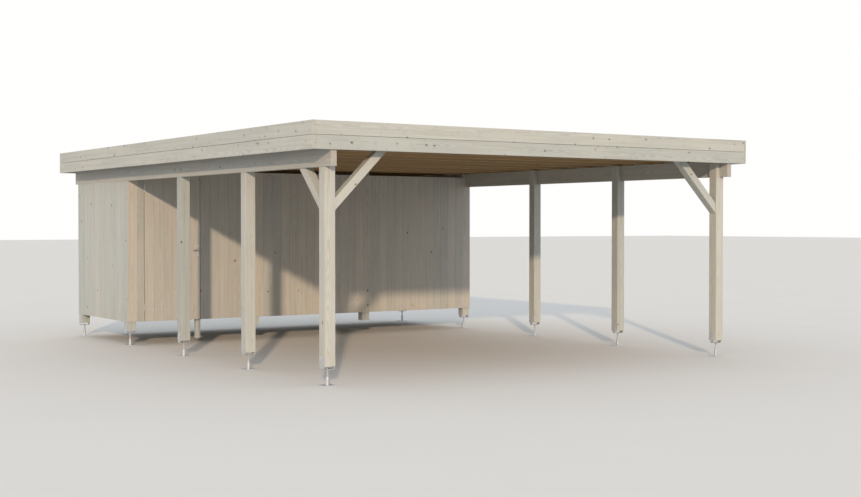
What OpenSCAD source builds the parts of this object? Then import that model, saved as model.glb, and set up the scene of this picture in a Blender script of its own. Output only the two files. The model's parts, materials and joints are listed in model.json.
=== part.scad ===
// Timber carport with a closed store room across its rear bay.
// Front faces -Y, +Z is up, and the origin is on the ground under the middle of the roof.

/* [Frame] */
// Width over the outer faces of the posts
frame_w = 5580; // [4400:20:6800]
// Distance between post centres along the sides
bay = 1800; // [1500:10:2200]
// Side of a square post
post = 120; // [100:5:140]
// Height of the underside of the posts above the ground
post_foot_z = 195; // [170:5:240]
// Height of the underside of the side beams
beam_z = 2200; // [2000:10:2600]
// Thickness of a side beam
beam_t = 65; // [45:5:80]
// Depth of a side beam
beam_h = 200; // [150:5:250]
// How far the side beams run past the end posts
beam_end = 130; // [60:5:300]

/* [Braces] */
// Width of a knee brace, square to its length
brace_w = 90; // [60:5:120]
// Thickness of a knee brace across the frame
brace_t = 95; // [60:5:100]
// Height of the lower edge of a brace where it meets its post
brace_z = 1755; // [1500:5:1900]

/* [Roof] */
// Depth of the rafters and headers
rafter_h = 195; // [145:5:220]
// Thickness of a rafter
rafter_t = 45; // [35:5:60]
// Thickness of a header over the posts
header_t = 95; // [70:5:120]
// Thickness of the roof boards
deck_t = 20; // [16:1:28]
// Thickness of the roofing felt
felt_t = 4; // [3:1:8]
// How far the roof's edge stands out past the side posts
side_overhang = 222; // [120:2:400]
// Thickness of the fascia boards
fascia_t = 28; // [18:1:35]
// Height of one fascia board
fascia_h = 141; // [110:1:160]
// Gap between the upper and the lower fascia board
fascia_gap = 3; // [2:1:8]
// How far the fascia's lower edge hangs below the rafters
fascia_drop = 37; // [0:1:60]

/* [Store room] */
// Thickness of the wall boards
clad_t = 18; // [14:1:25]
// Height of the lower edge of the walls above the ground
wall_z = 316; // [260:2:400]
// Gap between the top of the front and rear walls and the headers
wall_head_gap = 56; // [20:2:100]
// Setback of the side walls from the outer faces of the posts
wall_recess = 4; // [0:1:20]
// Thickness of a wall rail
rail_t = 45; // [35:5:60]
// Height of a wall rail
rail_h = 70; // [45:5:95]

/* [Door] */
// Width of the door leaf
door_w = 800; // [700:10:900]
// Height of the door leaf
door_h = 1980; // [1700:10:2000]
// Distance from the frame's left side to the door leaf
door_x = 238; // [220:2:400]
// Gap round the door leaf
door_gap = 6; // [5:1:8]
// Width of a door stud
stud_w = 72; // [60:2:95]
// Thickness of a door stud
stud_t = 45; // [35:5:60]
// Height of the foot of the lock stud above the ground
lock_stud_z = 55; // [20:5:300]
// Clearance between the door leaf and the stud that it closes against
stop_gap = 5; // [5:1:8]
// Height of one ledge on the back of the door
ledge_h = 120; // [90:5:150]

/* [Door fittings] */
// Height of the lever above the ground
lever_z = 1264; // [1000:2:1400]
// Distance from the leaf's closing edge to the lever's spindle
backset = 38; // [30:1:60]
// Length of the lever's grip
grip_l = 78; // [60:2:120]
// Distance from the lock plate to the far side of the grip
lever_reach = 52; // [40:1:60]
// Width of the lock plate
plate_w = 38; // [30:1:44]
// Height of the lock plate
plate_h = 155; // [120:1:200]
// Thickness of the lock plate
plate_t = 3; // [2:0.5:4]
// Radius of the spindle
spindle_r = 5; // [4:0.5:6]
// Radius of a hinge knuckle
knuckle_r = 6; // [5:0.5:7]
// Radius of a hinge pin
pin_r = 3; // [2:0.5:3.5]
// Height of one hinge
hinge_h = 90; // [70:5:120]

/* [Post anchors] */
// Side of a square base plate
foot_w = 130; // [110:5:160]
// Thickness of a base plate
foot_t = 8; // [6:1:12]
// Distance between the bolt holes of a base plate
bolt_pitch = 96; // [80:2:120]
// Radius of a bolt hole
bolt_r = 5.5; // [4:0.5:7]
// Radius of the tube on the base plate
tube_r = 17; // [14:1:22]
// Height of the top of the tube above the ground
tube_top = 92; // [70:2:110]
// Radius of the height-setting screw
screw_r = 10; // [8:1:12]
// Width of the bracket along the building
bracket_w = 62; // [50:2:90]
// Thickness of the bracket's steel
bracket_t = 5; // [4:1:8]
// Height of the bracket's sides above the underside of the post
bracket_grip = 98; // [60:2:120]
// Open gap between the bracket's web and the underside of the post
bracket_gap = 27; // [10:1:30]

/* [Hidden] */
$fn = 48;
rows = 5;
store_row = 3;
rafters_per_bay = 3;
side_names = ["left", "right"];
braces = ["across", "along"];
post_names = [for (s = side_names, row = [1:rows]) str("post_", s, "_", row)];
brace_names = [for (s = side_names, way = braces) str("brace_", s, "_", way)];

half_w = frame_w / 2;
post_x = half_w - post / 2;
frame_l = (rows - 1) * bay + post;
half_l = frame_l / 2;
beam_top = beam_z + beam_h;
rafter_top = beam_top + rafter_h;
// Roof: the inner faces of the fascia boards
deck_x = half_w + side_overhang - fascia_t;
deck_y = half_l + beam_end;
fascia_z = beam_top - fascia_drop;
// Store room: faces of the walls
wall_top = beam_top - wall_head_gap;
store_front = row_y(store_row) - post / 2;
store_post_x = round(post_x / 3);
side_wall_y0 = row_y(store_row) + post / 2;
side_wall_l = bay - post;
rail_inset = 14;
// Door: edges of the leaf and of the hole in the wall
leaf_x0 = -half_w + door_x;
leaf_x1 = leaf_x0 + door_w;
leaf_top = wall_z + door_h;
hole_x0 = leaf_x0 - door_gap;
hole_x1 = leaf_x1 + door_gap;
hole_top = leaf_top + door_gap;
leaf_y = store_front - clad_t;
ledge_t = rail_t - stop_gap;
stud_lap = 47;
lock_stud_x = hole_x1 - stud_lap;
ledge_inset = 6;
lever_x = leaf_x1 - backset;
running_gap = 0.05;
spindle_hole_gap = 1;
neck_r = 9;
grip_r = 8;
spindle_inset = 4;
// Hinges: the axis stands in front of the wall, over the middle of the gap
hinge_stand = knuckle_r + 0.5;
hinge_x = leaf_x0 - door_gap / 2;
hinge_y = leaf_y - hinge_stand;
flap_t = 2;
flap_d = 38;
knuckles = 5;
knuckle_gap = 0.5;
hinge_inset = 130;
// Anchors
web_top = post_foot_z - bracket_gap;
web_z = web_top - bracket_t;
flange_top = post_foot_z + bracket_grip;
nut_r = 17;
nut_h = 16;
screw_foot = 30;
screw_clearance = 0.2;

// Place of a row of posts along the building, the front row being row 0
function row_y(row) = (row - (rows - 1) / 2) * bay;

// Heights of the undersides of the bottom, middle and top rail of a wall that ends at a given height
function rail_heights(top) =
    [for (k = [0:2]) wall_z + rail_inset + k * (top - wall_z - 2 * rail_inset - rail_h) / 2];

// Box between two corners
module block(low, high) {
    translate(low) cube(high - low);
}

// Draws its children on the left, or mirrored on the right
module on_side(side) {
    mirror([side > 0 ? 1 : 0, 0, 0]) children();
}

// Corner or side post, notched on its outer face for the side beam
module side_post(row) {
    color("tan") difference() {
        translate([-half_w, row_y(row) - post / 2, post_foot_z])
            cube([post, post, beam_top - post_foot_z]);
        translate([-half_w - 1, row_y(row) - post / 2 - 1, beam_z])
            cube([beam_t + 1, post + 2, beam_h + 1]);
    }
}

// Posts inside the front and the rear wall of the store room
module store_posts() {
    color("tan") for (x = [-store_post_x, store_post_x], row = [store_row, rows - 1])
        translate([x - post / 2, row_y(row) - post / 2, post_foot_z])
            cube([post, post, beam_top - post_foot_z]);
}

// U-shaped bracket round the foot of a post, with its nut and screw below
module anchor_bracket(y) {
    outer = post / 2 + bracket_t;
    translate([-post_x, y, 0]) {
        difference() {
            block([-outer, -bracket_w / 2, web_z], [outer, bracket_w / 2, flange_top]);
            block([-post / 2, -bracket_w / 2 - 1, web_top], [post / 2, bracket_w / 2 + 1, flange_top + 1]);
        }
        translate([0, 0, web_z - nut_h]) cylinder(h = nut_h, r = nut_r, $fn = 6);
        translate([0, 0, screw_foot]) cylinder(h = web_z - screw_foot, r = screw_r);
    }
}

// Base plate with the tube that takes the screw
module anchor_base(y) {
    translate([-post_x, y, 0]) difference() {
        union() {
            block([-foot_w / 2, -foot_w / 2, 0], [foot_w / 2, foot_w / 2, foot_t]);
            cylinder(h = tube_top, r = tube_r);
        }
        translate([0, 0, foot_t]) cylinder(h = tube_top, r = screw_r + screw_clearance);
        for (x = [-1, 1], y = [-1, 1])
            translate([x * bolt_pitch / 2, y * bolt_pitch / 2, -1]) cylinder(h = foot_t + 2, r = bolt_r);
    }
}

module anchor_brackets() {
    color("silver") for (row = [0:rows - 1]) anchor_bracket(row_y(row));
}

module anchor_bases() {
    color("silver") for (row = [0:rows - 1]) anchor_base(row_y(row));
}

module side_beam() {
    color("tan") block([-half_w, -deck_y, beam_z], [-half_w + beam_t, deck_y, beam_top]);
}

// Outline of a 45 degree brace from a post's face at x = 0 up to a level
module brace_outline(top) {
    rise = brace_w * sqrt(2);
    polygon([[0, brace_z], [top - brace_z, top], [top - brace_z - rise, top], [0, brace_z + rise]]);
}

// Brace across the front, from a front post up to the front header
module brace_across() {
    color("wheat") translate([-half_w + post, row_y(0) + brace_t / 2, 0])
        rotate([90, 0, 0]) linear_extrude(brace_t) brace_outline(beam_top);
}

// Brace along the side, from a front post up to the side beam
module brace_along() {
    color("wheat") translate([-post_x - brace_t / 2, row_y(0) + post / 2, 0])
        rotate([90, 0, 90]) linear_extrude(brace_t) brace_outline(beam_z);
}

// Roof timber across the building, centred at a place along it
module cross_timber(y, thickness) {
    block([-deck_x, y - thickness / 2, beam_top], [deck_x, y + thickness / 2, rafter_top]);
}

// Headers over the front posts and over the store room's front and rear walls
module headers() {
    color("tan") for (row = [0, store_row, rows - 1]) cross_timber(row_y(row), header_t);
}

module rafters() {
    last = (rows - 1) * rafters_per_bay;
    store = store_row * rafters_per_bay;
    color("tan") {
        for (k = [1:last - 1])
            if (k != store) cross_timber(row_y(0) + k * bay / rafters_per_bay, rafter_t);
        for (end = [-1, 1]) cross_timber(end * (deck_y - rafter_t / 2), rafter_t);
    }
}

module roof_boards() {
    color("burlywood") block([-deck_x, -deck_y, rafter_top], [deck_x, deck_y, rafter_top + deck_t]);
}

module roof_felt() {
    color("dimgray")
        block([-deck_x, -deck_y, rafter_top + deck_t], [deck_x, deck_y, rafter_top + deck_t + felt_t]);
}

// The lower and the upper board of a fascia, as boxes between two corners on plan
module fascia_boards(low, high) {
    color("wheat") for (k = [0, 1]) {
        z = fascia_z + k * (fascia_h + fascia_gap);
        block([low[0], low[1], z], [high[0], high[1], z + fascia_h]);
    }
}

module end_fascia() {
    fascia_boards([-deck_x, -deck_y - fascia_t], [deck_x, -deck_y]);
}

module side_fascia() {
    fascia_boards([-deck_x - fascia_t, -deck_y - fascia_t], [-deck_x, deck_y + fascia_t]);
}

// Side wall between the two rear posts, under the side beam
module side_wall() {
    color("wheat") translate([-half_w + wall_recess, side_wall_y0, wall_z])
        cube([clad_t, side_wall_l, beam_z - wall_z]);
}

// Boards of a wall across the building, cut round the side beams
module boards_across(low, high) {
    color("wheat") difference() {
        block(low, high);
        for (s = [0, 1]) on_side(s) side_beam();
    }
}

module rear_wall() {
    boards_across([-half_w, half_l, wall_z], [half_w, half_l + clad_t, wall_top]);
}

// Stretch of the front wall's boards
module front_boards(x0, x1, z0) {
    boards_across([x0, leaf_y, z0], [x1, store_front, wall_top]);
}

// Rails between two uprights of a wall that runs across the building
module rails_across(x0, x1, y) {
    for (z = rail_heights(wall_top)) block([x0, y, z], [x1, y + rail_t, z + rail_h]);
}

module wall_rails() {
    inner_x = post_x - post / 2;
    rear_y = half_l - rail_t;
    rail_x = half_w - wall_recess - clad_t - rail_t;
    color("burlywood") {
        rails_across(hole_x1, -store_post_x - post / 2, store_front);
        for (y = [store_front, rear_y]) {
            rails_across(-store_post_x + post / 2, store_post_x - post / 2, y);
            rails_across(store_post_x + post / 2, inner_x, y);
        }
        rails_across(-inner_x, -store_post_x - post / 2, rear_y);
        for (side = [-1, 1], z = rail_heights(beam_z)) on_side(side)
            translate([-rail_x - rail_t, side_wall_y0, z]) cube([rail_t, side_wall_l, rail_h]);
    }
}

// Stud behind the boards at the hinge side, with its face flush with the edge of the hole
module hinge_stud() {
    color("burlywood")
        block([hole_x0 - stud_w, store_front, wall_z], [hole_x0, store_front + stud_t, beam_top]);
}

// Stud behind the closing edge, which the leaf closes against, standing nearly on the ground
module lock_stud() {
    y = store_front + rail_t;
    color("burlywood") block([lock_stud_x, y, lock_stud_z], [lock_stud_x + stud_w, y + stud_t, beam_top]);
}

// Rail over the doorway, between the hinge stud and the next wall rail
module door_head() {
    color("burlywood")
        block([hole_x0, store_front, hole_top], [hole_x1, store_front + rail_t, beam_top]);
}

// Hole through the leaf for the lever's spindle
module spindle_hole() {
    translate([lever_x, leaf_y - 1, lever_z]) rotate([-90, 0, 0])
        cylinder(h = clad_t + ledge_t + 2, r = spindle_r + spindle_hole_gap);
}

module door_boards() {
    color("wheat") difference() {
        block([leaf_x0, leaf_y, wall_z], [leaf_x1, store_front, leaf_top]);
        spindle_hole();
    }
}

// Heights of the undersides of the ledges: bottom, middle behind the lever, and top
function ledge_heights() =
    [wall_z + hinge_inset, lever_z - ledge_h / 2, leaf_top - hinge_inset - ledge_h];

module door_ledges() {
    color("burlywood") difference() {
        for (z = ledge_heights())
            block([leaf_x0, store_front, z], [leaf_x1 - ledge_inset, store_front + ledge_t, z + ledge_h]);
        spindle_hole();
    }
}

// Height of the underside of each hinge, level with the middle of the bottom and the top ledge
function hinge_heights() = [for (k = [0, 2]) ledge_heights()[k] + (ledge_h - hinge_h) / 2];

// One half of a butt hinge: knuckles of one parity, and their flap.
// side is -1 for the half on the frame, which also holds the pin, and 1 for the half on the leaf.
module hinge_half(side) {
    pitch = hinge_h / knuckles;
    own = side < 0 ? 0 : 1;
    inner = door_gap / 2 - flap_t;
    x0 = side < 0 ? -door_gap / 2 : inner;
    difference() {
        union() {
            for (k = [own:2:knuckles - 1]) translate([0, 0, k * pitch + knuckle_gap / 2]) {
                cylinder(h = pitch - knuckle_gap, r = knuckle_r);
                translate([x0, 0, 0]) cube([flap_t, hinge_stand + flap_d, pitch - knuckle_gap]);
            }
            translate([x0, hinge_stand + knuckle_gap, knuckle_gap / 2])
                cube([flap_t, flap_d - knuckle_gap, hinge_h - knuckle_gap]);
        }
        if (side > 0) translate([0, 0, -1]) cylinder(h = hinge_h + 2, r = pin_r + running_gap);
    }
    if (side < 0) cylinder(h = hinge_h, r = pin_r);
}

module hinge_halves(side) {
    color("silver") for (z = hinge_heights()) translate([hinge_x, hinge_y, z]) hinge_half(side);
}

// Long plate on the face of the leaf, with the spindle's bearing
module lock_plate() {
    color("silver") difference() {
        block(
            [lever_x - plate_w / 2, leaf_y - plate_t, lever_z - plate_h / 2],
            [lever_x + plate_w / 2, leaf_y, lever_z + plate_h / 2]
        );
        translate([lever_x, leaf_y - plate_t - 1, lever_z]) rotate([-90, 0, 0])
            cylinder(h = plate_t + 2, r = spindle_r + running_gap);
    }
}

// Lever: neck out from the plate, grip back towards the hinges, and spindle into the leaf
module door_lever() {
    face = leaf_y - plate_t;
    color("lightgray") translate([lever_x, face, lever_z]) {
        rotate([90, 0, 0]) translate([0, 0, running_gap])
            cylinder(h = lever_reach - running_gap, r = neck_r);
        translate([0, -lever_reach + grip_r, 0]) rotate([0, -90, 0]) cylinder(h = grip_l, r = grip_r);
        translate([0, -grip_r, 0]) rotate([-90, 0, 0])
            cylinder(h = grip_r + plate_t + clad_t + ledge_t - spindle_inset, r = spindle_r);
    }
}

for (row = [0:rows - 1], s = [0, 1])
    on_side(s) side_post(row);
store_posts();
for (s = [0, 1]) {
    on_side(s) anchor_brackets();
    on_side(s) anchor_bases();
    on_side(s) side_beam();
    on_side(s) brace_across();
    on_side(s) brace_along();
    on_side(s) side_fascia();
    on_side(s) side_wall();
}
headers();
rafters();
roof_boards();
roof_felt();
end_fascia();  // fascia_front
mirror([0, 1, 0]) end_fascia();  // fascia_rear
rear_wall();
front_boards(hole_x1, half_w, wall_z);  // front_wall
front_boards(-half_w, hole_x0, wall_z);  // front_wall_beside_door
front_boards(hole_x0, hole_x1, hole_top);  // front_wall_over_door
wall_rails();
hinge_stud();
lock_stud();
door_head();
door_boards();
door_ledges();
hinge_halves(1);  // door_hinge_leaves
hinge_halves(-1);  // frame_hinge_leaves
lock_plate();
door_lever();
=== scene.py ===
"""Looks of a flat-roofed timber carport with a store room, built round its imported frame."""

import json
import math
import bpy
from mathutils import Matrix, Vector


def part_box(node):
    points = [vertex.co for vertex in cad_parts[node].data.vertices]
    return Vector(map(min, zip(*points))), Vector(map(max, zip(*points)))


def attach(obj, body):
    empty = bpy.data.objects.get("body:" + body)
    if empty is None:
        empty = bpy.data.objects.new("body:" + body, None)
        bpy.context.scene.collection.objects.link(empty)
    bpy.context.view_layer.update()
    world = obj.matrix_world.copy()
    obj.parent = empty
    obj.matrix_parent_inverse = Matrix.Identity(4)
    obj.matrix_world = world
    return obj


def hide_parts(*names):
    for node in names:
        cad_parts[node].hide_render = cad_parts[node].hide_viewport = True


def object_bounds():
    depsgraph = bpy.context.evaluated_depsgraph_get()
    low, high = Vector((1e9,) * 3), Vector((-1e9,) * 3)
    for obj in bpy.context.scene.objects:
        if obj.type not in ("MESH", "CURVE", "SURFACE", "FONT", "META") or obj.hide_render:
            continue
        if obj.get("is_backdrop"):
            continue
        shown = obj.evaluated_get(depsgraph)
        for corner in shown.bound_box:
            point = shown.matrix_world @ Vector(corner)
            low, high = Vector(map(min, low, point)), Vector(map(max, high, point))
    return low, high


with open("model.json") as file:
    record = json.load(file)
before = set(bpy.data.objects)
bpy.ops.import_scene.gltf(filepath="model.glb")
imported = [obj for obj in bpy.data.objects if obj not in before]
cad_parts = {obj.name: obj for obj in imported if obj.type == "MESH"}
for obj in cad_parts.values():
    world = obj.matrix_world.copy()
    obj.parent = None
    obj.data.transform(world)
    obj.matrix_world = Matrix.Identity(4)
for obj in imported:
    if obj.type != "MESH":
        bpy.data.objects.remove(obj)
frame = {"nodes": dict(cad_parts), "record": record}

import zlib

import bpy
import numpy as np
from bpy.props import FloatProperty, FloatVectorProperty, IntProperty, PointerProperty
from mathutils import Vector

bl_info = {
    "name": "Timber carport",
    "version": (1, 0, 0),
    "blender": (4, 5, 0),
    "location": "3D View > Sidebar > Carport",
    "description": "Boards, timbers, steel anchors, door and roof of a timber carport",
    "category": "Add Mesh",
}

CAD_LOW, CAD_HIGH = (list(corner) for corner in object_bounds())
RECORD = frame["record"]
BODY_OF = {n: body for body, names in RECORD["behaviour"]["bodies"].items() for n in names}
SLOT_OF = {part["node"]: part["material_slot"] for part in RECORD["subparts"]}
# Rafters and headers show only from below, with the roof boards, and share their timber, painted
# darker and warmer: painted shade under the roof.
SLOT_OF.update(rafters=SLOT_OF["roof_boards"], headers=SLOT_OF["roof_boards"])
SIDES = {"left": -1, "right": 1}
AXES = np.eye(3)
X, Y, Z = AXES
# An outline in width and height, carried towards the front.
UPRIGHT = np.stack([X, Z, -Y])
# Nails and screws ride with the hinge leaves and are of their steel.
FRAME_STEEL = "frame_hinge_leaves"
DOOR_STEEL = "door_hinge_leaves"
# Edges flatter than these many degrees are shaded round.
ROUND_HEADS, ROUND_FITTINGS, ROUND_WELDS = 25, 35, 60
# How far the pith may lie off a timber's middle, across its face and into its depth.
PITH = {
    "squared": (0.03, 0.03),
    "post": (0.035, 0.03),
    "framing": (0.04, 0.05),
    "rafter": (0.04, 0.06),
    "fascia": (0.05, 0.05),
    "board": (0.05, 0.06),
    "beam": (0.05, 0.07),
}
# Early wood, late wood, knots a metre, share of late wood and height of the saw marks.
SPRUCE = {
    "post_timber": ("sapwood", "latewood", 6.0, 0.5, 0.0),
    # Beams, front walls and door take the wall wood, painted warmer: painted warm bounce light under
    # the roof. The walls in the open keep the plain sapwood.
    "beam_timber": ("boards", "boards_late", 6.0, 0.5, 0.0),
    "brace_timber": ("sapwood", "latewood", 5.0, 0.5, 0.0),
    "framing_timber": ("sapwood", "latewood", 6.0, 0.5, 0.4),
    # Roof timber takes the warm wood, painted darker and warmer: painted shade under the roof.
    "roof_timber": ("warm", "warm_late", 6.0, 0.5, 0.4),
    "fascia_timber": ("sapwood", "latewood", 11.0, 0.5, 0.0),
    "wall_timber": ("boards", "boards_late", 6.0, 0.45, 0.0),
    "weathered_boards": ("sapwood", "latewood", 6.0, 0.45, 0.0),
}
# Waves a metre of the patterns in spruce, across the log in two directions and along it.
WANDER = (3.0, 3.0, 0.8)
RIPPLE = (42.0, 42.0, 4.0)
FIBRE = (420.0, 420.0, 9.0)
STREAK = (38.0, 38.0, 0.9)
CLOUD = (5.0, 5.0, 1.3)
CHATTER = (8.0, 8.0, 260.0)


# ---------------------------------------------------------------- settings


class CARPORT_PG_timber(bpy.types.PropertyGroup):
    """Sizes of the joiner's work"""

    arris: FloatProperty(
        name="Arris", description="Width planed off the edges of posts, beams and rafters",
        default=0.003, min=0.0005, max=0.01, unit="LENGTH")
    board_arris: FloatProperty(
        name="Board arris", description="Width planed off the edges of fascia boards and ledges",
        default=0.002, min=0.0005, max=0.005, unit="LENGTH")
    wall_pitch: FloatProperty(
        name="Wall board", description="Face width of one tongued wall board",
        default=0.137, min=0.08, max=0.25, unit="LENGTH")
    roof_pitch: FloatProperty(
        name="Roof board", description="Face width of one tongued roof board",
        default=0.121, min=0.08, max=0.25, unit="LENGTH")
    joint: FloatProperty(
        name="Joint", description="Depth of the V between two tongued boards",
        default=0.0009, min=0.0005, max=0.006, unit="LENGTH")
    tongue: FloatProperty(
        name="Tongue", description="Length of a board's tongue",
        default=0.006, min=0.003, max=0.012, unit="LENGTH")
    nail: FloatProperty(
        name="Nail head", description="Radius of a nail head in the boards",
        default=0.0033, min=0.002, max=0.006, unit="LENGTH")
    ring: FloatProperty(
        name="Growth ring", description="Usual width of one growth ring",
        default=0.0038, min=0.001, max=0.01, unit="LENGTH")


class CARPORT_PG_roofing(bpy.types.PropertyGroup):
    """Sizes of the roof covering"""

    sheet: FloatProperty(
        name="Sheet", description="Width of a roll of felt, less its lap",
        default=0.92, min=0.4, max=1.2, unit="LENGTH")
    lap: FloatProperty(
        name="Lap", description="Width of the lap of one sheet of felt over the next",
        default=0.08, min=0.04, max=0.15, unit="LENGTH")
    lap_rise: FloatProperty(
        name="Lap rise", description="How far a lap stands above the sheet below",
        default=0.004, min=0.001, max=0.006, unit="LENGTH")
    fillet: FloatProperty(
        name="Fillet", description="Width of the sloping strip of felt inside the fascia",
        default=0.04, min=0.01, max=0.08, unit="LENGTH")


class CARPORT_PG_steel(bpy.types.PropertyGroup):
    """Sizes of the steelwork"""

    bend: FloatProperty(
        name="Bend", description="Inner radius of the bracket's bends",
        default=0.004, min=0.001, max=0.01, unit="LENGTH")
    thread: FloatProperty(
        name="Thread", description="Pitch of the anchor's round thread",
        default=0.004, min=0.002, max=0.006, unit="LENGTH")
    weld: FloatProperty(
        name="Weld", description="Leg of the weld round the anchor's tube",
        default=0.005, min=0.002, max=0.01, unit="LENGTH")
    screw_head: FloatProperty(
        name="Screw head", description="Distance across the flats of a coach screw's head",
        default=0.013, min=0.008, max=0.02, unit="LENGTH")
    screws_up: IntProperty(
        name="Screws", description="Coach screws in one side of a bracket",
        default=2, min=1, max=3)


class CARPORT_PG_colours(bpy.types.PropertyGroup):
    """Colours of the finishes, as linear light"""

    sapwood: FloatVectorProperty(
        name="Sapwood", description="Pale early wood of a growth ring",
        default=(0.427, 0.447, 0.422), subtype="COLOR", min=0, max=1)
    latewood: FloatVectorProperty(
        name="Late wood", description="Darker late wood of a growth ring",
        default=(0.265, 0.250, 0.205), subtype="COLOR", min=0, max=1)
    # Warm wood and warm late wood are the spruce painted darker and warmer for the roof boards,
    # rafters and headers. This is painted shade and warm bounce light under the roof.
    warm: FloatVectorProperty(
        name="Warm wood", description="Early wood of the sawn timber under the roof",
        default=(0.325, 0.222, 0.113), subtype="COLOR", min=0, max=1)
    warm_late: FloatVectorProperty(
        name="Warm late wood", description="Late wood of the sawn timber under the roof",
        default=(0.21, 0.137, 0.066), subtype="COLOR", min=0, max=1)
    # Wall wood and wall late wood are the spruce painted warmer for the beams, the front walls and
    # the door. This is painted warm bounce light in the shade under the roof.
    boards: FloatVectorProperty(
        name="Wall wood", description="Early wood of the wall and door boards",
        default=(0.426, 0.420, 0.388), subtype="COLOR", min=0, max=1)
    boards_late: FloatVectorProperty(
        name="Wall late wood", description="Late wood of the wall and door boards",
        default=(0.275, 0.245, 0.195), subtype="COLOR", min=0, max=1)
    knot: FloatVectorProperty(
        name="Knot", description="Heart of a knot",
        default=(0.092, 0.060, 0.040), subtype="COLOR", min=0, max=1)
    zinc: FloatVectorProperty(
        name="Zinc", description="Hot-dip galvanised steel",
        default=(0.58, 0.615, 0.65), subtype="COLOR", min=0, max=1)
    steel: FloatVectorProperty(
        name="Steel", description="Satin steel of the door fittings",
        default=(0.60, 0.59, 0.57), subtype="COLOR", min=0, max=1)
    felt: FloatVectorProperty(
        name="Felt", description="Mineral felt of the roof",
        default=(0.060, 0.066, 0.066), subtype="COLOR", min=0, max=1)


class CARPORT_PG_stage(bpy.types.PropertyGroup):
    """Camera, floor and light"""

    eye: FloatVectorProperty(
        name="Eye", description="Place of the camera",
        default=(-9.315, -15.378, 1.628), subtype="XYZ", unit="LENGTH")
    heading: FloatProperty(
        name="Heading", description="Turn of the camera from the carport's length towards its right",
        default=math.radians(33.617), subtype="ANGLE")
    dip: FloatProperty(
        name="Dip", description="How far the camera looks below level",
        default=math.radians(1.056), subtype="ANGLE")
    lens: FloatProperty(
        name="Lens", description="Focal length", default=56.06, unit="CAMERA")
    floor: FloatVectorProperty(
        name="Floor", description="Pale floor",
        default=(0.64, 0.62, 0.58), subtype="COLOR", min=0, max=1)
    floor_size: FloatProperty(
        name="Floor size", description="Half the width of the floor",
        default=120.0, unit="LENGTH")
    key: FloatProperty(
        name="Key light", description="Strength of the main light",
        default=2.75, min=0)
    key_colour: FloatVectorProperty(
        name="Key colour", description="Colour of the main light",
        default=(1.0, 0.76, 0.54), subtype="COLOR", min=0, max=1)
    key_way: FloatVectorProperty(
        name="Key direction", description="The way in which the main light shines",
        default=(0.508, 0.832, -0.27), subtype="XYZ")
    key_width: FloatProperty(
        name="Key width", description="Width of the main light, which softens its shadows",
        default=math.radians(1.6), subtype="ANGLE")
    sky: FloatProperty(
        name="Sky", description="Strength of the light from all round",
        default=1.14, min=0)
    horizon: FloatVectorProperty(
        name="Horizon", description="Colour of the light from low down",
        default=(0.88, 0.875, 0.865), subtype="COLOR", min=0, max=1)
    zenith: FloatVectorProperty(
        name="Zenith", description="Colour of the light from above",
        default=(0.74, 0.815, 0.915), subtype="COLOR", min=0, max=1)


def settings(group):
    """The scene's settings of one group."""
    return getattr(bpy.context.scene, "carport_" + group)


# ---------------------------------------------------------------- reading the frame


def box_of(name):
    """Lowest and highest corner of a CAD node."""
    low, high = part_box(name)
    return np.array(low), np.array(high)


def corners(name):
    """Every vertex of a CAD node, as rows."""
    mesh = frame["nodes"][name].data
    points = np.empty(len(mesh.vertices) * 3, np.float32)
    mesh.vertices.foreach_get("co", points)
    return points.reshape(-1, 3).astype(float)


def solids(name):
    """Lowest and highest corner of each separate solid of a CAD node.

    Vertices at one place share a number, and each triangle lowers its three numbers to the
    smallest of them until nothing changes, which leaves one number for each solid.
    """
    mesh = frame["nodes"][name].data
    mesh.calc_loop_triangles()
    triangles = np.empty(len(mesh.loop_triangles) * 3, np.int32)
    mesh.loop_triangles.foreach_get("vertices", triangles)
    places, number = np.unique(np.round(corners(name), 5), axis=0, return_inverse=True)
    triangles = number.reshape(-1)[triangles].reshape(-1, 3)
    label = np.arange(len(places))
    while True:
        lower = label.copy()
        np.minimum.at(lower, triangles.ravel(), np.repeat(label[triangles].min(1), 3))
        if (lower == label).all():
            break
        label = lower
    groups = [places[label == k] for k in np.unique(label)]
    return [(g.min(0), g.max(0)) for g in groups]


def levels(name, axis):
    """The different heights, or other coordinates, at which a CAD node has corners."""
    return np.unique(np.round(corners(name)[:, axis], 5))


# ---------------------------------------------------------------- outlines


def inset(outline, size):
    """Moves every edge of a counter-clockwise outline inwards by one distance.

    With n and m the inward normals of a corner's two edges, the corner moves by
    size * (n + m) / (1 + n . m).
    """
    edge = np.roll(outline, -1, 0) - outline
    edge /= np.linalg.norm(edge, axis=1)[:, None]
    after = np.column_stack([-edge[:, 1], edge[:, 0]])
    before = np.roll(after, 1, 0)
    return outline + (before + after) * (size / (1 + (before * after).sum(1)))[:, None]


def cut_corners(outline, size):
    """Puts two points in place of each corner, one on each of its edges, at one distance."""
    back = np.roll(outline, 1, 0) - outline
    on = np.roll(outline, -1, 0) - outline
    back *= size / np.linalg.norm(back, axis=1)[:, None]
    on *= size / np.linalg.norm(on, axis=1)[:, None]
    return np.stack([outline + back, outline + on], 1).reshape(-1, 2)


def rectangle(low, high):
    """The four corners of a rectangle, counter-clockwise."""
    return np.array([low, (high[0], low[1]), high, (low[0], high[1])], float)


def rounded(low, high, radius, steps=6):
    """A rectangle with each corner turned on a quarter circle."""
    turn = np.linspace(0, math.pi / 2, steps)
    mids = rectangle(np.add(low, radius), np.subtract(high, radius))
    starts = np.array([math.pi, 1.5 * math.pi, 0, 0.5 * math.pi])
    angle = starts[:, None] + turn[None, :]
    return (mids[:, None, :] + radius * np.stack([np.cos(angle), np.sin(angle)], 2)).reshape(-1, 2)


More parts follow.
